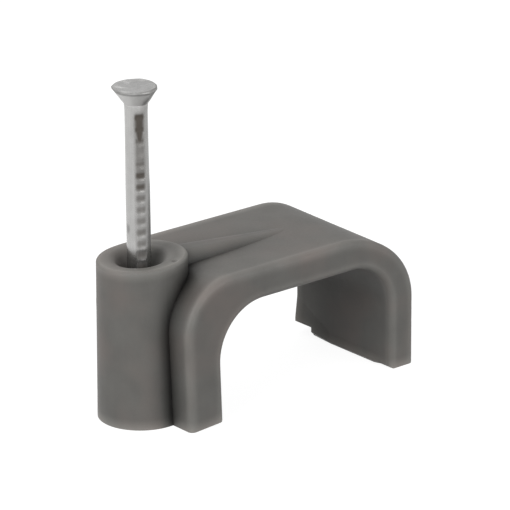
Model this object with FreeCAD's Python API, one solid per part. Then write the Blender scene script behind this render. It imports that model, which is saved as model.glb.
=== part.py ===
import FreeCAD, Part
import math
import os

# A nail-in clip for one flat cable: a grey plastic saddle with a nail already pushed into its boss.
# The origin is where the nail's axis meets the wall face, +X runs along the strap away from the nail,
# +Y runs along the cable and +Z points out of the wall. All sizes are in millimetres and degrees.

# The channel that the cable lies in
gap_width = 19.0
gap_height = 10.25
gap_near_radius = 4.7
gap_far_radius = 4.2

# The strap that bridges the cable, and its two legs
strap_width = 12.7
strap_thickness = 2.85
near_leg_thickness = 3.68
near_leg_lean = 1.8
far_leg_thickness = 2.72
near_shoulder_radius = 4.75
front_edge_round = 0.5

# The far shoulder, a quarter of an ellipse that is flatter in front than at the back
far_shoulder_across_front = 8.4
far_shoulder_down_front = 6.8
far_shoulder_across_back = 7.1
far_shoulder_down_back = 7.0

# The feet: three corners are rounded, and the near foot clears the wall a little beside the channel
foot_corner_round = 0.45
near_foot_rise = 0.2

# The low lip along the inside of the far foot, and the swelling above it that grows towards the back
lip_foot_inset = 0.1
lip_reach = 0.14
lip_upright = 0.2
lip_height = 1.05
lip_front_margin = 1.3
lip_run_in = 1.0
swelling_foot_inset = 0.5
swelling_reach = 0.25
swelling_upright = 0.6
swelling_height = 3.4
swelling_length = 4.5

# The slope that takes the back end of the far foot off the wall
foot_cut_length = 2.15
foot_cut_width = 1.5
foot_cut_height = 0.84

# The boss that holds the nail, a cylinder stretched a little towards the strap
leg_face_from_axis = 0.12
boss_top_radius = 3.65
boss_base_radius = 3.82
boss_height = 14.28
boss_top_slope = 3.2
boss_stretch = 0.6
boss_rim_round = 0.25

# The rounded rib that runs down from the boss along the top of the strap
rib_root_half_width = 1.65
rib_end_half_width = 1.2
rib_top_round = 1.1
rib_root_drop = 0.3
rib_end_sink = 0.1
rib_end_from_axis = 17.0

# The dimple that the mould's pin leaves on the boss beside the recess
pin_mark_round = 0.6
pin_mark_depth = 0.08
pin_mark_from_axis = 3.3
pin_mark_bearing = -64.0

# The nail
nail_diameter = 2.0
nail_length = 28.75
head_diameter = 4.0
head_edge = 0.18
head_edge_round = 0.08
head_cone_half_angle = 36.0
point_length = 3.2
point_flat = 0.3
nail_tip_rise = 0.7

# The gripper marks, pressed across two opposite sides of the shank
mark_pitch = 1.006
mark_depth = 0.2
mark_width = 0.5
first_mark_below_head = 1.06
mark_clear_of_point = 1.0
mark_bearing = 248.0

# The clearances between the nail and the boss, and the recess that the head ends in
shank_clearance = 0.05
head_clearance = 0.05
head_sink = 0.2
recess_mouth_round = 0.9

# How far a cutting shape runs past what it cuts, and how near two places count as one
overrun = 1.0
same_place = 1e-4

Z_AXIS = FreeCAD.Vector(0, 0, 1)
ORIGIN = FreeCAD.Vector(0, 0, 0)


def at(x, y, z):
    return FreeCAD.Vector(x, y, z)


def turned_round_axis(profile):
    """Turns a list of (radius, height) points about the nail's axis into a solid."""
    outline = Part.makePolygon([at(radius, 0, height) for radius, height in profile + profile[:1]])
    return Part.Face(outline).revolve(ORIGIN, Z_AXIS, 360)


def arc(centre, radius, start, end):
    """Part of a circle in the XZ plane, between two angles measured from +X towards +Z."""
    angles = [math.radians(start), math.radians((start + end) / 2), math.radians(end)]
    points = [centre + at(radius * math.cos(angle), 0, radius * math.sin(angle)) for angle in angles]
    return Part.Arc(*points).toShape()


def joined(pieces):
    """Chains arcs and single points into one closed wire, with straight lines between them."""
    ends = [(piece.valueAt(piece.FirstParameter), piece.valueAt(piece.LastParameter), piece)
            if isinstance(piece, Part.Shape) else (piece, piece, None) for piece in pieces]
    edges = []
    for (_, leave, piece), (reach, _, _) in zip(ends, ends[1:] + ends[:1]):
        if piece is not None:
            edges.append(piece)
        if leave.distanceToPoint(reach) > same_place:
            edges.append(Part.LineSegment(leave, reach).toShape())
    return Part.Wire(edges)


def down_near_leg(centre, radius, height):
    """Where the leaning tangent that leaves an arc on its left side comes down to a height."""
    lean = math.radians(near_leg_lean)
    start = at(centre.x - radius * math.cos(lean), centre.y, centre.z - radius * math.sin(lean))
    return at(start.x + (start.z - height) * math.tan(lean), centre.y, height)


# Places that follow from the sizes above
strap_top = gap_height + strap_thickness
gap_near_x = leg_face_from_axis + near_leg_thickness
gap_far_x = gap_near_x + gap_width
strap_end_x = gap_far_x + far_leg_thickness
front_y = -strap_width / 2
back_y = strap_width / 2
left_side = 180 + near_leg_lean


def near_shoulder_centre(y):
    return at(leg_face_from_axis + near_shoulder_radius, y, strap_top - near_shoulder_radius)


def gap_near_centre(y):
    return at(gap_near_x + gap_near_radius, y, gap_height - gap_near_radius)


def far_shoulder(y, across, down):
    """A quarter of an ellipse, from the strap's top to the far leg's outer face."""
    centre = at(strap_end_x - across, y, strap_top - down)
    whole = Part.Ellipse(centre + at(across, 0, 0), centre + at(0, 0, down), centre)
    return Part.ArcOfEllipse(whole, 0, math.pi / 2).toShape()


def strap_outline(y, across, down):
    """The saddle's outer form at one place along the cable, run on below the wall face."""
    near = near_shoulder_centre(y)
    return joined([
        at(strap_end_x, y, -overrun),
        far_shoulder(y, across, down),
        arc(near, near_shoulder_radius, 90, left_side),
        down_near_leg(near, near_shoulder_radius, -overrun),
    ])


def strap_blank():
    """The saddle's outer form before the channel is taken out of it."""
    return Part.makeLoft([
        strap_outline(front_y, far_shoulder_across_front, far_shoulder_down_front),
        strap_outline(back_y, far_shoulder_across_back, far_shoulder_down_back),
    ], True, True)


def channel():
    """The space for the cable, run past both faces of the strap and well below its feet."""
    start_y = front_y - overrun
    near = gap_near_centre(start_y)
    far = at(gap_far_x - gap_far_radius, start_y, gap_height - gap_far_radius)
    outline = joined([
        down_near_leg(near, gap_near_radius, -2 * overrun),
        arc(near, gap_near_radius, left_side, 90),
        arc(far, gap_far_radius, 90, 0),
        at(gap_far_x, start_y, -2 * overrun),
    ])
    return Part.Face(outline).extrude(at(0, strap_width + 2 * overrun, 0))


def space_under_feet():
    """All below the boss and the feet, with the rounds of three corners and the rise of the near foot."""
    y = front_y - overrun
    outer = down_near_leg(near_shoulder_centre(y), near_shoulder_radius, 0)
    inner = down_near_leg(gap_near_centre(y), gap_near_radius, near_foot_rise + foot_corner_round)
    outline = joined([
        at(-boss_base_radius - overrun, y, -2 * overrun),
        at(-boss_base_radius - overrun, y, 0),
        outer,
        arc(at(inner.x - foot_corner_round, y, inner.z), foot_corner_round, -90, 0),
        arc(at(gap_far_x + foot_corner_round, y, foot_corner_round), foot_corner_round, 180, 270),
        arc(at(strap_end_x - foot_corner_round, y, foot_corner_round), foot_corner_round, 270, 360),
        at(strap_end_x + overrun, y, foot_corner_round),
        at(strap_end_x + overrun, y, -2 * overrun),
    ])
    return Part.Face(outline).extrude(at(0, strap_width + 2 * overrun, 0))


def in_front_face(edge):
    """True for an edge that lies in the front face and isn't the cut end of a leg."""
    corners = edge.Vertexes
    flat = all(abs(corner.Y - front_y) < same_place for corner in corners)
    return flat and any(corner.Z > -overrun + same_place for corner in corners)


def strap():
    """The strap and its legs, run on below the wall face: rounded in front, sharp at the back."""
    body = strap_blank().cut(channel())
    rim = [edge for edge in body.Edges if in_front_face(edge)]
    return body.makeFillet(front_edge_round, rim)


def inside_far_foot(y, inset, reach, upright, height):
    """One outline of a bar along the far foot: bevelled at the wall, then upright, then sloping back."""
    inside = gap_far_x + far_leg_thickness / 2
    return Part.makePolygon([
        at(inside, y, 0),
        at(gap_far_x + inset, y, 0),
        at(gap_far_x - reach, y, inset + reach),
        at(gap_far_x - reach, y, inset + reach + upright),
        at(gap_far_x, y, height),
        at(inside, y, height),
        at(inside, y, 0),
    ])


def lip():
    """The lip along the foot, which starts near the front and grows into the swelling behind."""
    start_y = front_y + lip_front_margin
    return Part.makeLoft([
        inside_far_foot(start_y, foot_corner_round, 0, lip_upright, lip_height),
        inside_far_foot(start_y + lip_run_in, lip_foot_inset, lip_reach, lip_upright, lip_height),
        inside_far_foot(back_y - swelling_length, lip_foot_inset, lip_reach, lip_upright, lip_height),
        inside_far_foot(back_y, swelling_foot_inset, swelling_reach, swelling_upright, swelling_height),
    ], True, True)


def foot_cut():
    """The wedge that is missing under the back end of the far foot, on the channel's side."""
    y = back_y - foot_cut_length
    slope = foot_cut_height / foot_cut_width
    start = gap_far_x - swelling_reach - overrun
    end = gap_far_x + foot_cut_width
    outline = Part.makePolygon([
        at(start, y, -overrun),
        at(start, y, slope * (end - start)),
        at(end, y, 0),
        at(end, y, -overrun),
        at(start, y, -overrun),
    ])
    return Part.Face(outline).extrude(at(0, foot_cut_length + overrun, 0))


def boss_outline(radius, height):
    """A circle stretched towards the strap, at one height."""
    pull = at(boss_stretch, 0, 0)
    front, back = at(0, -radius, height), at(0, radius, height)
    left, right = at(-radius, 0, height), at(radius + boss_stretch, 0, height)
    return Part.Wire([
        Part.Arc(back, left, front).toShape(),
        Part.LineSegment(front, front + pull).toShape(),
        Part.Arc(front + pull, right, back + pull).toShape(),
        Part.LineSegment(back + pull, back).toShape(),
    ])


def boss_top_at(x):
    """The height of the boss's top, which falls away from the strap."""
    return boss_height + x * math.tan(math.radians(boss_top_slope))


def in_boss_top(edge):
    """True for an edge whose ends lie in the boss's top."""
    return all(abs(end.Z - boss_top_at(end.X)) < same_place for end in edge.Vertexes)


def boss():
    """The slightly tapered boss, run on below the wall face, with its sloping top rounded at the rim."""
    flare = (boss_base_radius - boss_top_radius) / boss_height
    foot = boss_outline(boss_base_radius + flare * overrun, -overrun)
    head = boss_outline(boss_top_radius - flare * overrun, boss_height + overrun)
    body = Part.makeLoft([foot, head], True, True)
    reach = 2 * boss_base_radius
    ceiling = Part.makePolygon([
        at(-reach, -reach, boss_top_at(-reach)),
        at(reach, -reach, boss_top_at(reach)),
        at(reach, -reach, boss_height + 2 * overrun),
        at(-reach, -reach, boss_height + 2 * overrun),
        at(-reach, -reach, boss_top_at(-reach)),
    ])
    body = body.cut(Part.Face(ceiling).extrude(at(0, 2 * reach, 0)))
    rim = [edge for edge in body.Edges if in_boss_top(edge)]
    return body.makeFillet(boss_rim_round, rim)


def across_strap(x, half_width, top):
    """An upright rectangle across the strap, from the middle of its thickness up."""
    low = strap_top - strap_thickness / 2
    corners = [(-half_width, low), (half_width, low), (half_width, top), (-half_width, top)]
    return Part.makePolygon([at(x, y, z) for y, z in corners + corners[:1]])


def rib():
    """A tapering bar that leaves the boss just below its top and sinks into the strap, rounded above."""
    root_x = boss_top_radius
    root = across_strap(root_x, rib_root_half_width, boss_top_at(root_x) - rib_root_drop)
    end = across_strap(rib_end_from_axis, rib_end_half_width, strap_top - rib_end_sink)
    bar = Part.makeLoft([root, end], True, True)
    crest = [edge for edge in bar.Edges
             if abs(edge.Vertexes[0].X - edge.Vertexes[-1].X) > same_place
             and min(vertex.Z for vertex in edge.Vertexes) > strap_top - strap_thickness / 2 + same_place]
    return bar.makeFillet(rib_top_round, crest)


def pin_mark():
    """A ball that leaves the shallow dimple beside the recess, where it is cut from the boss's top."""
    bearing = math.radians(pin_mark_bearing)
    x = pin_mark_from_axis * math.cos(bearing)
    y = pin_mark_from_axis * math.sin(bearing)
    return Part.makeSphere(pin_mark_round, at(x, y, boss_top_at(x) + pin_mark_round - pin_mark_depth))


def head_cone_height():
    return (head_diameter - nail_diameter) / 2 / math.tan(math.radians(head_cone_half_angle))


def nail_hole():
    """The bore through the boss and the countersink above it, which the driven head ends in."""
    bore = nail_diameter / 2 + shank_clearance
    seat = head_diameter / 2 + head_clearance
    seat_height = boss_height - head_sink - head_edge
    widening = math.tan(math.radians(head_cone_half_angle))
    cone_end = seat_height - (seat - bore) / widening
    over = boss_height + overrun
    mouth = seat + (over - seat_height) * widening
    below = -overrun
    return turned_round_axis([(0, below), (bore, below), (bore, cone_end), (mouth, over), (0, over)])


def round_countersink(body):
    """Rounds the countersink's edge, the only one in the boss's top that is well inside the boss's rim."""
    inside_rim = (head_diameter / 2 + boss_top_radius) / 2
    mouth = [edge for edge in body.Edges
             if in_boss_top(edge) and all(math.hypot(end.X, end.Y) < inside_rim for end in edge.Vertexes)]
    return body.makeFillet(recess_mouth_round, mouth)


def clip_body():
    """The whole moulding: strap, boss, lip and rib in one, then cut to shape and bored."""
    body = strap().fuse(boss()).cut(channel()).cut(space_under_feet())
    body = body.fuse(lip()).fuse(rib()).cut(foot_cut()).cut(nail_hole()).removeSplitter()
    return round_countersink(body).cut(pin_mark())


def gripper_mark(height, side):
    """One V-shaped cut across the shank, on one of its two marked sides."""
    radius = nail_diameter / 2
    reach = mark_width / 2
    notch = Part.makePolygon([
        at(radius - mark_depth, -radius, 0),
        at(radius, -radius, -reach),
        at(radius + mark_depth, -radius, -reach),
        at(radius + mark_depth, -radius, reach),
        at(radius, -radius, reach),
        at(radius - mark_depth, -radius, 0),
    ])
    cutter = Part.Face(notch).extrude(at(0, nail_diameter, 0))
    cutter.rotate(ORIGIN, Z_AXIS, mark_bearing + side)
    cutter.translate(at(0, 0, height))
    return cutter


def nail():
    """The nail, with its point a little above the wall face."""
    shank = nail_diameter / 2
    head = head_diameter / 2
    top = nail_tip_rise + nail_length
    cone_top = top - head_edge
    cone_base = cone_top - head_cone_height()
    point_top = nail_tip_rise + point_length
    body = turned_round_axis([
        (0, nail_tip_rise),
        (point_flat / 2, nail_tip_rise),
        (shank, point_top),
        (shank, cone_base),
        (head, cone_top),
        (head, top - head_edge_round),
        (head - head_edge_round, top),
        (0, top),
    ])
    first = cone_base - first_mark_below_head
    count = int((first - point_top - mark_clear_of_point) / mark_pitch) + 1
    marks = [gripper_mark(first - index * mark_pitch, side) for index in range(count) for side in (0, 180)]
    return body.cut(Part.makeCompound(marks))


os.makedirs("parts", exist_ok=True)
for name, shape in (("clip_body", clip_body()), ("nail", nail())):
    shape.exportStep("parts/" + name + ".step")
    print(name, "solids", len(shape.Solids), "valid", shape.isValid(), "volume", round(shape.Volume, 1))
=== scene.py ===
import math

import bpy
import numpy as np
from mathutils import Matrix, Vector


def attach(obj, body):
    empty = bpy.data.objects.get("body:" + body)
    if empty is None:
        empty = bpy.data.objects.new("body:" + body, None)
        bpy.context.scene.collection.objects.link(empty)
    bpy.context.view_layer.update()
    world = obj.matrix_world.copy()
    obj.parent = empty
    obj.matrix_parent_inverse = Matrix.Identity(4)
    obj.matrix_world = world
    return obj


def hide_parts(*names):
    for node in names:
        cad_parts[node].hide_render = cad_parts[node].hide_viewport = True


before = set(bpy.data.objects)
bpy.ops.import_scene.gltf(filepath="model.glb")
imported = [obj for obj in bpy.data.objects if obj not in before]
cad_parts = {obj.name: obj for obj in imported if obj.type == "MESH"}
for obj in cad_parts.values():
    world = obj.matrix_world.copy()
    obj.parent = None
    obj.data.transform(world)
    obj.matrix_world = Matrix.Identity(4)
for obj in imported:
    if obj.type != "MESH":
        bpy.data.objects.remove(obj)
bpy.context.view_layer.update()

# Camera
# A long lens that looks along the strap from the boss's corner and a little down on it, as the
# photograph does. The picture is 510 pixels square.
picture_px = 510
focal_px = 3597.0
sensor_width = 36.0
turn_to_strap = math.radians(39.47)
drop = math.radians(20.01)
roll = math.radians(-0.48)
aim = Vector((0.01064, -0.00246, 0.01258))
distance = 0.3083

lens = bpy.data.cameras.new("camera")
lens.sensor_width = sensor_width
lens.lens = focal_px * sensor_width / picture_px
camera = bpy.data.objects.new("camera", lens)
bpy.context.scene.collection.objects.link(camera)
ahead = Vector((
    math.sin(turn_to_strap) * math.cos(drop),
    math.cos(turn_to_strap) * math.cos(drop),
    -math.sin(drop),
))
level_right = Vector((math.cos(turn_to_strap), -math.sin(turn_to_strap), 0.0))
level_up = level_right.cross(ahead)
right = level_right * math.cos(roll) + level_up * math.sin(roll)
up = level_up * math.cos(roll) - level_right * math.sin(roll)
axes = Matrix((right, up, -ahead)).transposed().to_4x4()
camera.matrix_world = Matrix.Translation(aim - ahead * distance) @ axes
bpy.context.scene.camera = camera


# Light
# A white tent: even light from all round, a soft window on the boss's side, a fill low in front of
# the strap, and two weak ones. Only what the camera or a mirror sees of the tent is pure white.
class Wire:
    """An output of a node. Sums of it and numbers add Math nodes, and node() adds any other node."""

    def __init__(self, tree, socket=None):
        self.tree = tree
        self.socket = socket

    def node(self, kind, settings=None, sockets=None, output=0):
        """Adds a node of a type, changes its settings, then gives its sockets values or links. Returns
        one of its outputs, or the node where it has none."""
        made = self.tree.nodes.new(kind)
        for name, value in (settings or {}).items():
            setattr(made, name, value)
        for name, value in (sockets or {}).items():
            if isinstance(value, Wire):
                self.tree.links.new(value.socket, made.inputs[name])
            else:
                made.inputs[name].default_value = value
        return Wire(self.tree, made.outputs[output]) if len(made.outputs) else made

    def sum(self, operation, first, second=0.0, clamp=False):
        """One Math node on two values. With clamp, its result is kept between 0 and 1."""
        settings = {"operation": operation, "use_clamp": clamp}
        return self.node("ShaderNodeMath", settings, {0: first, 1: second})

    def __add__(self, other):
        return self.sum("ADD", self, other)

    __radd__ = __add__

    def __sub__(self, other):
        return self.sum("SUBTRACT", self, other)

    def __rsub__(self, other):
        return self.sum("SUBTRACT", other, self)

    def __mul__(self, other):
        return self.sum("MULTIPLY", self, other)

    __rmul__ = __mul__

    def __pow__(self, other):
        return self.sum("POWER", self, other)


def seen_directly(start):
    """1 for camera, mirror and glass rays, and 0 for the rays that carry light to dull surfaces."""
    camera_ray = start.node("ShaderNodeLightPath", output="Is Camera Ray")
    mirror_ray = start.node("ShaderNodeLightPath", output="Is Glossy Ray")
    glass_ray = start.node("ShaderNodeLightPath", output="Is Transmission Ray")
    return start.sum("MAXIMUM", start.sum("MAXIMUM", camera_ray, mirror_ray), glass_ray)


tent_level = 0.40
tent = bpy.data.worlds.new("white_tent")
tent.use_nodes = True
tent.node_tree.nodes.clear()
start = Wire(tent.node_tree)
tent_strength = tent_level + seen_directly(start) * (1 - tent_level)
tent_light = start.node("ShaderNodeBackground", None, {"Strength": tent_strength})
start.node("ShaderNodeOutputWorld", None, {"Surface": tent_light})
bpy.context.scene.world = tent
bpy.context.scene.view_settings.view_transform = "Standard"

lamp_distance = 0.45
lamp_width = 0.30


def window(name, direction, level):
    """A square lamp that faces the clip. Its power is pi squared times the distance squared times the
    level, so that a surface turned to it is lit to that level, where 1 shows a colour as it is written."""
    data = bpy.data.lights.new(name, "AREA")
    data.size = lamp_width
    data.energy = level * (math.pi * lamp_distance) ** 2
    lamp = bpy.data.objects.new(name, data)
    bpy.context.scene.collection.objects.link(lamp)
    place = aim + Vector(direction).normalized() * lamp_distance
    turn = (aim - place).to_track_quat("-Z", "Y").to_matrix().to_4x4()
    lamp.matrix_world = Matrix.Translation(place) @ turn


window("window_left", (-1.0, -0.1, 0.4), 0.69)
window("fill_front", (0.1, -1.0, 0.1), 0.56)
window("fill_right", (0.6, -0.8, 0.4), 0.12)
window("fill_back", (0.2, 0.8, 0.8), 0.13)

# Floor
# A wide white board. It shows as white, keeps the clip's soft shadow, and throws only some of its
# light back up, so that the underside of the strap stays dark.
half_floor = 2.0
board_as_seen = (0.95, 0.95, 0.95, 1)
board_as_lamp = (0.10, 0.10, 0.10, 1)
board_glow = 1.3
board_glow_share = 0.7

# A Mix node's sockets for its share, its two colours and its result, which go by number
mix_share = 0
mix_first = 6
mix_second = 7
mix_result = 2


def blank(name):
    """A material with nothing in it yet, and the start of its wires."""
    material = bpy.data.materials.new(name)
    material.use_nodes = True
    material.node_tree.nodes.clear()
    return material, Wire(material.node_tree)


def mixed(share, first, second):
    """The first colour where the share is 0, the second where it is 1, and a straight blend between."""
    sockets = {mix_share: share, mix_first: first, mix_second: second}
    return share.node("ShaderNodeMix", {"data_type": "RGBA"}, sockets, output=mix_result)


board, start = blank("white_board")
seen = seen_directly(start)
matt_board = start.node("ShaderNodeBsdfPrincipled", None, {
    "Base Color": mixed(seen, board_as_lamp, board_as_seen),
    "Roughness": 1.0,
    "Specular IOR Level": 0.0})
glowing_board = start.node("ShaderNodeEmission", None, {"Strength": board_glow})
shown = start.node("ShaderNodeMixShader", None, {
    0: seen * board_glow_share, 1: matt_board, 2: glowing_board})
start.node("ShaderNodeOutputMaterial", None, {"Surface": shown})

corners = [(-half_floor, -half_floor, 0), (half_floor, -half_floor, 0)]
corners += [(half_floor, half_floor, 0), (-half_floor, half_floor, 0)]
floor_mesh = bpy.data.meshes.new("floor")
floor_mesh.from_pydata(corners, [], [(0, 1, 2, 3)])
floor_mesh.materials.append(board)
floor = bpy.data.objects.new("floor", floor_mesh)
bpy.context.scene.collection.objects.link(floor)

# Clip
# One injection moulding in grey plastic: the boss, the strap with its two legs, and the rib. Its skin
# is the satin of a worn mould, with faint draw lines down its walls. Its crevices are darkened with painted
# shade, its edges paled with a painted highlight, and what faces up paled with painted light.
plastic_dark = (0.126, 0.123, 0.115, 1)
plastic_light = (0.146, 0.143, 0.134, 1)
plastic_warm = (0.162, 0.144, 0.133, 1)
# A pale warm colour for the painted light on what faces up
painted_top_light = (0.205, 0.194, 0.178, 1)

clouds_per_metre = 330.0
grains_per_metre = 4200.0
warm_patches_per_metre = 190.0
warm_patch_shift = (0.02, 0.01, 0.0)
draw_lines_per_metre = 1600.0
draw_line_stretch = (1.0, 1.0, 0.05)

# How much each pattern adds to the mix of greys, and the middle of a noise
noise_middle = 0.5
middle_tone = 0.35
cloud_tone = 3.2
grain_tone = 0.3
draw_line_tone = 0.5
warm_from = 0.44
warm_gain = 4.0
# Painted light on what faces up: how it grows with facing up, and its share everywhere and in the clouds
top_light_power = 3
top_light_everywhere = 0.16
top_light_in_clouds = 0.55

# How far crevices and edges are felt, and how much painted shade or painted highlight they give the plastic
crevice_reach = 0.0015
shelter_reach = 0.003
edge_reach = 0.001
recess_radius = 0.0022
recess_fade = 0.001
recess_shelter_power = 0.7
outside_shelter_power = 1.3
edge_highlight_gain = 1.75

satin_roughness = 0.52
grain_roughness = 0.16
satin_shine = 0.28
skin_depth = 0.00004
skin_strength = 0.4
grain_relief = 0.5
draw_line_relief = 0.35
cloud_relief = 0.6


def noise(place, per_metre, detail):
    """Soft noise about a half, with so many patches to the metre and finer layers for more detail."""
    sockets = {"Vector": place, "Scale": per_metre, "Detail": detail}
    return place.node("ShaderNodeTexNoise", None, sockets)


def openness(start, reach, inside=False):
    """The share of the directions that meet nothing within the reach, outside the surface or inside it."""
    settings = {"only_local": True, "inside": inside}
    return start.node("ShaderNodeAmbientOcclusion", settings, {"Distance": reach}, output="AO")


plastic, start = blank("grey_plastic")
place = start.node("ShaderNodeTexCoord", output="Object")
facing = start.node("ShaderNodeNewGeometry", output="Normal")
upright = start.node("ShaderNodeSeparateXYZ", None, {0: facing}, output="Z")
wall = 1 - start.sum("ABSOLUTE", upright)
shifted = start.node("ShaderNodeMapping", None, {"Vector": place, "Location": warm_patch_shift})
stretched = start.node("ShaderNodeMapping", None, {"Vector": place, "Scale": draw_line_stretch})
clouds = noise(place, clouds_per_metre, detail=4.0)
warmth = noise(shifted, warm_patches_per_metre, detail=2.0)
grain = noise(place, grains_per_metre, detail=2.0)
draw_lines = noise(stretched, draw_lines_per_metre, detail=3.0)

# Patches of three greys, with painted light on what faces up, patchy with the clouds
tone = middle_tone + (clouds - noise_middle) * cloud_tone + grain * grain_tone
tone = tone + (draw_lines - noise_middle) * wall * draw_line_tone
colour = mixed(tone, plastic_dark, plastic_light)
colour = mixed((warmth - warm_from) * warm_gain, colour, plastic_warm)
on_top = start.sum("POWER", start.sum("MAXIMUM", upright), top_light_power, clamp=True)
colour = mixed(on_top * (top_light_everywhere + clouds * top_light_in_clouds), colour, painted_top_light)

# Painted shade darkens crevices, less so in the recess round the nail, and a painted highlight pales the
# edges
east = start.node("ShaderNodeSeparateXYZ", None, {0: place}, output="X")
north = start.node("ShaderNodeSeparateXYZ", None, {0: place}, output="Y")
from_axis = (east * east + north * north) ** 0.5
outside = start.sum("MULTIPLY", from_axis - recess_radius, 1 / recess_fade, clamp=True)
shelter = openness(start, shelter_reach) ** (recess_shelter_power + outside * outside_shelter_power)
# Painted highlight: paler along edges, where rays into the plastic soon meet its other side
edge_highlight = start.sum("SUBTRACT", 1, openness(start, edge_reach, inside=True), clamp=True)
shade = openness(start, crevice_reach) * shelter * (1 + edge_highlight * edge_highlight_gain)
colour = start.node("ShaderNodeVectorMath", {"operation": "SCALE"}, {0: colour, "Scale": shade})

skin = start.node("ShaderNodeBump", None, {
    "Height": grain * grain_relief + draw_lines * wall * draw_line_relief + clouds * cloud_relief,
    "Strength": skin_strength,
    "Distance": skin_depth})
surface = start.node("ShaderNodeBsdfPrincipled", None, {
    "Base Color": colour,
    "Roughness": satin_roughness + (grain - noise_middle) * grain_roughness,
    "Specular IOR Level": satin_shine,
    "Normal": skin})
start.node("ShaderNodeOutputMaterial", None, {"Surface": surface})
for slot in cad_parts["clip_body"].material_slots:
    slot.material = plastic

# Nail
# A hardened steel nail with dull plating, pushed into the boss's bore. A nail machine's jaws leave a
# row of marks down two opposite sides of its shank, and the machine's hammer leaves an uneven head.
mm = 0.001
nail_top = 29.45
nail_tip = 0.7
shank_radius = 1.0
neck_top_radius = 0.985
shank_low_radius = 1.025
head_radius = 1.96
head_edge = 0.24
head_round = 0.12
cone_height = 1.42
point_length = 3.2
facet_length = 0.8
tip_radius = 0.12
shank_top = nail_top - head_edge - cone_height
point_top = nail_tip + point_length

# The rings of points along the nail, and the points in each
top_rings = 26
round_rings = 7
edge_rings = 3
cone_rings = 33
shank_rings = 470
point_rings = 39
points_around = 160

# The seat that the driven head ends in, measured on the nail, with a little room left
seat_start = 27.894
seat_start_radius = 1.02
seat_half_angle = math.radians(36.0)
seat_room_below_neck = 0.6

# Bearings from +X towards +Y: where the jaws pressed, and the nail's sides as the photograph has them
jaw_bearing = math.radians(248.0)
front_bearing = math.radians(230.5)
left_bearing = front_bearing - math.pi / 2
right_bearing = front_bearing + math.pi / 2
back_bearing = front_bearing + math.pi


def smooth(start, end, value):
    """0 before start, 1 after end, and 3 t squared minus 2 t cubed between them."""
    t = np.clip((value - start) / (end - start), 0, 1)
    return t * t * (3 - 2 * t)


def bell(offset, width):
    """1 at no offset, falling off to both sides as e to minus the square of offset over width."""
    return np.exp(-(offset / width) ** 2)


def waves(angle, kinds, share=0.0):
    """A sum of sine waves round the nail. Each kind has its count, height, start and twist with the share."""
    return sum(
        size * np.sin(count * angle + start + twist * share) for count, size, start, twist in kinds)


def turned(angle, bearing):
    """The angle between a direction and a bearing, from -pi to pi."""
    return (angle - bearing + math.pi) % (2 * math.pi) - math.pi


# The jaws' marks, from the top down, each with its own weight
first_mark = 26.83
mark_pitch = 1.006
mark_half_height = 0.45
mark_flat = math.radians(13.5)
mark_end = math.radians(33.0)
mark_depth = 0.05
mark_weights = [
    1.35, 1.15, 0.75, 0.5, 0.68, 1.05, 0.9, 0.62, 0.55, 0.5, 0.6,
    0.5, 0.6, 0.7, 0.8, 0.9, 0.85, 0.8, 0.9, 0.7, 0.5]
far_side_weight = 0.85

# The slot that joins the first three marks: its half angle at its foot, how much wider it flares
# above and how much it closes again at the top, and the pairs of heights between which it does so
slot_weight = 0.95
slot_foot = math.radians(7.5)
slot_flare = math.radians(21.6)
slot_closing = 0.4
slot_flat_share = 0.35
slot_end_share = 1.25
slot_flares = (24.0, 26.2)
slot_closes = (26.9, 27.5)
slot_fades_in = (24.0, 25.0)
slot_fades_out = (26.7, 27.5)


def jaw_marks(angle, height):
    """How deep the marks are: for each mark, half a cosine wave in height times a flat-topped bell in
    angle, on two opposite sides. A slot that narrows downwards joins the first three."""
    depth = np.zeros_like(angle)
    slot_half = slot_foot + slot_flare * smooth(*slot_flares, height)
    slot_half *= 1 - slot_closing * smooth(*slot_closes, height)
    slot_ends = smooth(*slot_fades_in, height) * (1 - smooth(*slot_fades_out, height))
    for side, share in ((0.0, 1.0), (math.pi, far_side_weight)):
        off = np.abs(turned(angle, jaw_bearing + side))
        across = 1 - smooth(mark_flat, mark_end, off)
        for number, weight in enumerate(mark_weights):
            from_middle = height - (first_mark - number * mark_pitch)
            along = np.cos(np.clip(from_middle / mark_half_height, -1, 1) * math.pi / 2)
            depth = np.maximum(depth, share * weight * along * across)
        slot = (1 - smooth(slot_flat_share * slot_half, slot_end_share * slot_half, off)) * slot_ends
        depth = np.maximum(depth, share * slot_weight * slot)
    return depth


# Grime: how it follows the marks' depth, and the soft strip of it between them
grime_gain = 1.05
grime_power = 0.9
strip_flat = math.radians(12.0)
strip_end = math.radians(36.0)
strip_below = 0.22
strip_more_above = 0.33
strip_thickens = (20.3, 22.0)
strip_fades_out = (26.9, 27.6)


def grime(angle, height, marks):
    """How much dirt there is, from 0 to 1: a power of the marks' depth, or between the marks a soft strip
    down their side, which is thicker in its upper part."""
    strip = 1 - smooth(strip_flat, strip_end, np.abs(turned(angle, jaw_bearing)))
    strip *= 1 - smooth(*strip_fades_out, height)
    strip *= strip_below + strip_more_above * smooth(*strip_thickens, height)
    return np.maximum(np.clip(grime_gain * marks ** grime_power, 0, 1), strip)


# How dull the plating is all over, and what each place adds to that or takes off, painted shade and painted
# light among them
dull_all_over = 0.50
# Painted shade down the right side of the shank
shade_right = 0.42
shade_right_power = 1.5
shade_right_fades_out = (27.6, 28.0)
dull_on_top = 0.2
top_fades_in = (28.9, 29.1)
# Painted shade inside the boss
shade_in_boss = 0.5
boss_mouth = (14.6, 15.6)
# Painted light that makes the cone brighter
painted_light_on_cone = 0.25
cone_fades_in = (27.7, 28.1)
cone_fades_out = (28.95, 29.1)
dull_on_edge = 0.15
dull_at_edge_ends = 0.5
dull_edge_width = 0.14
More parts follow.
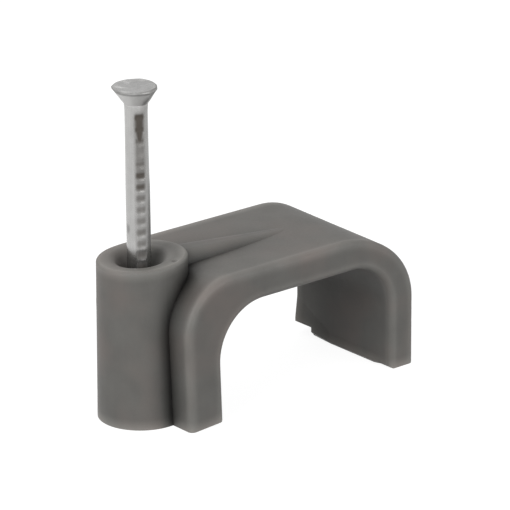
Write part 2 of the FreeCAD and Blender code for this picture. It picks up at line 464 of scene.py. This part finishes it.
# Painted shade in a slanting crook on the cone under the head
shade_in_crook = 0.85
crook_height = 27.9
crook_bearing = right_bearing - 0.92
crook_slant = 0.35
crook_width = 0.22
dull_in_scuff = 0.9
scuff_height = 17.0
scuff_half_height = 0.35
scuff_bearing = front_bearing - 1.0
scuff_half_angle = 0.2


def tarnish_and_shade(angle, height, radii):
    """How dull the plating is, from 0 to 1, as a sum: some all over; painted shade down the right side and
    inside the boss; more on the head's top; less on the cone, where painted light brightens it; bells along
    the head's edge, most at its two ends; painted shade in a slanting crook under the head; and one scuff
    low on the shank."""
    right = 0.5 + 0.5 * np.cos(turned(angle, right_bearing))
    cone = smooth(*cone_fades_in, height) * (1 - smooth(*cone_fades_out, height))
    on_top = smooth(*top_fades_in, height)
    ends = np.sin(turned(angle, front_bearing)) ** 4
    edge = bell(radii - head_radius, dull_edge_width) * on_top
    crook = bell(turned(angle, crook_bearing + crook_slant * (height - crook_height)), crook_width)
    scuff = bell(turned(angle, scuff_bearing), scuff_half_angle)
    scuff *= bell(height - scuff_height, scuff_half_height)
    dull_and_shade = dull_all_over + dull_on_top * on_top - painted_light_on_cone * cone
    dull_and_shade += shade_right * right ** shade_right_power * (1 - smooth(*shade_right_fades_out, height))
    dull_and_shade += shade_in_boss * (1 - smooth(*boss_mouth, height))
    dull_and_shade += edge * (dull_on_edge + dull_at_edge_ends * ends)
    dull_and_shade += shade_in_crook * cone * crook + dull_in_scuff * scuff
    return np.clip(dull_and_shade, 0, 1)


# Where the plating is rough: the head's edge, the cone, and the rubbed right side of the lower shank
blunt_edge_width = 0.2
blunt_edge_fades_in = (28.6, 29.0)
blunt_on_cone = 0.9
blunt_where_rubbed = 0.9
rubbed_half_angle = 0.7
rubbing_fades_out = (22.5, 20.5)


def bluntness(angle, height, radii, on_cone):
    """How rough the plating is, from 0 to 1: the most of a bell at the head's edge, the cone, and a bell
    down the right side of the shank from its middle to the boss."""
    edge = bell(radii - head_radius, blunt_edge_width) * smooth(*blunt_edge_fades_in, height)
    rubbed = bell(turned(angle, right_bearing), rubbed_half_angle)
    rubbed *= smooth(*rubbing_fades_out, height) * smooth(*boss_mouth, height)
    return np.maximum(edge, np.maximum(blunt_on_cone * on_cone, blunt_where_rubbed * rubbed))


def turned_profile():
    """The radius and height of each ring of a plain turned nail, from the middle of its top to its tip: a
    flat top, a quarter round, a straight edge, a cone, a straight shank and a tapering point."""
    turn = np.linspace(0, np.pi / 2, round_rings + 1)[1:]
    down_cone = np.linspace(1, 0, cone_rings + 1)[1:]
    radii = np.concatenate([
        np.linspace(0, head_radius - head_round, top_rings),
        head_radius - head_round * (1 - np.sin(turn)),
        np.full(edge_rings, head_radius),
        shank_radius + (head_radius - shank_radius) * down_cone,
        np.full(shank_rings, shank_radius),
        np.linspace(shank_radius, tip_radius, point_rings + 1)[1:],
        [0.0],
    ])
    heights = np.concatenate([
        np.full(top_rings, nail_top),
        nail_top - head_round * (1 - np.cos(turn)),
        np.linspace(nail_top - head_round, nail_top - head_edge, edge_rings + 1)[1:],
        nail_top - head_edge - cone_height * (1 - down_cone),
        np.linspace(shank_top, point_top, shank_rings + 1)[1:],
        np.linspace(point_top, nail_tip, point_rings + 1)[1:],
        [nail_tip],
    ])
    return radii, heights


# What the hammer and the die leave: a fuller cone on the left, an uneven outline and top, and a neck
left_fullness = 0.42
off_centre = 0.060
outline_waves = [(3, 0.014, 0.6, 0), (7, 0.012, 1.9, 0), (11, 0.008, 0.0, 0)]
head_blend = 0.2
neck_rise = 0.03
neck_length = 0.35
shank_thins = (19.0, 26.0)
back_edge_rise = 0.1
back_half_angle = 0.75
left_droop = 0.05
dent_waves = [(2, 0.020, 1.0, 0), (5, 0.014, 0.0, 9)]
top_face_depth = 0.4
top_face_margin = 0.02

# The slight swelling on the right of the lower shank, and where the shank has its full width
swell_rise = 0.015
swell_half_angle = 0.5
swell_fades_out = (21.3, 20.7)
full_width = 0.9
mark_limit_above_neck = 0.1


def nail_rings():
    """The nail as rings of points: the turned profile, with its radius and height changed by bearing. The
    cone is a power curve, fuller on the left. The head's outline and top are sums of sine waves, higher at
    the back and lower on the left. The jaws' marks are sunk into the shank, and the point is squared. The
    head stays inside a cone a little smaller than the seat in the boss. The rings come with three maps: dirt,
    tarnish with painted shade and painted light, and bluntness."""
    radii, heights = turned_profile()
    angle, height = np.meshgrid(np.linspace(0, 2 * np.pi, points_around, endpoint=False), heights)
    radii = np.repeat(radii[:, None], points_around, 1)
    left = 0.5 + 0.5 * np.cos(turned(angle, left_bearing))

    on_cone = (height > shank_top) & (height < nail_top - head_edge)
    up_cone = np.clip((height - shank_top) / cone_height, 0, 1) ** (1 - left_fullness * left)
    radius = np.where(on_cone, shank_radius + (head_radius - shank_radius) * up_cone, radii)
    share = np.clip(radius / head_radius, 0, 1)

    in_head = smooth(shank_top - head_blend, nail_top - head_edge, height)
    lopsided = 1 + off_centre * np.cos(turned(angle, left_bearing)) + waves(angle, outline_waves)
    thinned = smooth(*shank_thins, height)
    shank = shank_low_radius * (1 - thinned) + neck_top_radius * thinned
    swell = swell_rise * smooth(*swell_fades_out, height) * (radii > full_width)
    swell *= bell(turned(angle, right_bearing), swell_half_angle)
    neck = neck_rise * bell(height - shank_top, neck_length)
    radius = radius * (shank * (1 - in_head) + lopsided * in_head) + (swell + neck) * (1 - in_head)

    on_shank = (radii > full_width) & (height < shank_top + mark_limit_above_neck)
    marks = jaw_marks(angle, height) * on_shank
    radius -= mark_depth * marks
    square = math.sqrt(0.5) / np.maximum(np.abs(np.cos(angle)), np.abs(np.sin(angle)))
    radius *= 1 - smooth(point_top, point_top - facet_length, height) * (1 - square)

    back = np.exp(-(turned(angle, back_bearing) / back_half_angle) ** 4)
    sunk = back_edge_rise * (1 - back * share ** 2) + left_droop * left * share ** 2
    sunk += waves(angle, dent_waves, share) * share
    sunk = np.clip(sunk, 0, None)
    sunk *= smooth(nail_top - head_edge - top_face_depth, nail_top - top_face_margin, height)

    above_seat = np.clip(height - sunk - seat_start, 0, None)
    room = seat_start_radius + above_seat * math.tan(seat_half_angle)
    in_seat = height > shank_top - seat_room_below_neck
    radius = np.where(in_seat, np.minimum(radius, room), radius)
    rings = np.stack([radius * np.cos(angle), radius * np.sin(angle), height - sunk], -1)
    stains_and_shade = {
        "dirt": grime(angle, height, marks),
        "tarnish_and_shade": tarnish_and_shade(angle, height, radii),
        "blunt": bluntness(angle, height, radii, on_cone),
    }
    return rings * mm, stains_and_shade


def closed_skin(name, rings):
    """A mesh from rings of points: four-sided faces between neighbouring rings, and a fan of triangles
    from the middle of the first and of the last ring, which are single points."""
    count = rings.shape[0] - 2
    size = rings.shape[1]
    points = np.concatenate([rings[1:-1].reshape(-1, 3), rings[:1].mean(1), rings[-1:].mean(1)])
    first = np.arange(size)
    following = np.roll(first, -1)
    rows = np.arange(count - 1)[:, None] * size
    quads = [rows + first, rows + size + first, rows + size + following, rows + following]
    sides = np.stack(quads, -1).reshape(-1, 4)
    last = (count - 1) * size
    top_fan = np.stack([following, np.full(size, count * size), first], -1)
    tip_fan = np.stack([last + first, np.full(size, count * size + 1), last + following], -1)
    mesh = bpy.data.meshes.new(name)
    mesh.from_pydata(points.tolist(), [], sides.tolist() + top_fan.tolist() + tip_fan.tolist())
    mesh.polygons.foreach_set("use_smooth", [True] * len(mesh.polygons))
    return mesh


rings, stains_and_shade = nail_rings()
nail_mesh = closed_skin("plated_nail", rings)
for name, amount in stains_and_shade.items():
    layer = nail_mesh.attributes.new(name, "FLOAT", "POINT")
    ends = [amount[0].mean(), amount[-1].mean()]
    layer.data.foreach_set("value", np.concatenate([amount[1:-1].ravel(), ends]).astype(np.float32))
nail = bpy.data.objects.new("plated_nail", nail_mesh)
bpy.context.scene.collection.objects.link(nail)

# Zinc plating, brighter and duller, with painted shade and painted light in its dullness, mottling, lines
# drawn along the wire and brown grime
zinc_bright = (0.61, 0.606, 0.597, 1)
zinc_dull_and_shaded = (0.27, 0.268, 0.262, 1)
grime_brown = (0.060, 0.050, 0.041, 1)
mottles_per_metre = 900.0
mottle_tone = 0.35
mottle_relief = 0.4
mottle_roughness = 0.08
wire_lines_per_metre = 5000.0
wire_line_stretch = (1.0, 1.0, 0.04)
wire_line_tone = 0.3
wire_line_relief = 0.6
plating_metallic = 0.9
plating_roughness = 0.17
blunt_roughness = 0.35
grime_roughness = 0.4
relief_depth = 0.00002
relief_strength = 0.3

steel, start = blank("plated_steel")
place = start.node("ShaderNodeTexCoord", output="Object")
dirt = start.node("ShaderNodeAttribute", {"attribute_name": "dirt"}, output="Fac")
# The dullness carries painted shade down the right side, in the boss and in a crook under the head, and
# painted light on the cone
dull_and_shade = start.node("ShaderNodeAttribute", {"attribute_name": "tarnish_and_shade"}, output="Fac")
blunt = start.node("ShaderNodeAttribute", {"attribute_name": "blunt"}, output="Fac")
stretched = start.node("ShaderNodeMapping", None, {"Vector": place, "Scale": wire_line_stretch})
mottle = noise(place, mottles_per_metre, detail=4.0)
wire_lines = noise(stretched, wire_lines_per_metre, detail=3.0)
dull_and_shade = dull_and_shade + (mottle - noise_middle) * mottle_tone + (wire_lines - noise_middle) * wire_line_tone
plating = mixed(dull_and_shade, zinc_bright, zinc_dull_and_shaded)
relief = start.node("ShaderNodeBump", None, {
    "Height": wire_lines * wire_line_relief + mottle * mottle_relief,
    "Strength": relief_strength,
    "Distance": relief_depth})
roughness = plating_roughness + mottle * mottle_roughness
roughness = roughness + blunt * blunt_roughness + dirt * grime_roughness
surface = start.node("ShaderNodeBsdfPrincipled", None, {
    "Base Color": mixed(dirt, plating, grime_brown),
    "Metallic": plating_metallic - dirt * plating_metallic,
    "Roughness": roughness,
    "Normal": relief})
start.node("ShaderNodeOutputMaterial", None, {"Surface": surface})
nail_mesh.materials.append(steel)
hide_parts("nail")
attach(nail, "nail")
